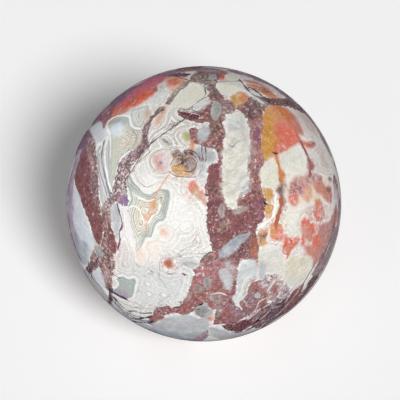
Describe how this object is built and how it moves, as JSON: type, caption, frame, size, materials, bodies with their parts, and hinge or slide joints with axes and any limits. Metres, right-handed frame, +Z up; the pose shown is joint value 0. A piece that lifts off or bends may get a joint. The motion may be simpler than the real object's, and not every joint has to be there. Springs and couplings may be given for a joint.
{
  "type": "crazy lace agate sphere",
  "caption": "Polished brecciated agate ball, one solid stone with a small ground flat to stand on and a few tiny open pits.",
  "frame": {"origin": "centre of the small ground flat that the stone rests on", "axes": "+Z up from the flat through the sphere's middle, -Y towards the viewer, +X to the viewer's right"},
  "size_m": [0.065, 0.065, 0.0642],
  "materials": {
    "polished_agate": "polished"
  },
  "bodies": {
    "root": {"agate_sphere": "polished_agate"}
  },
  "joints": []
}
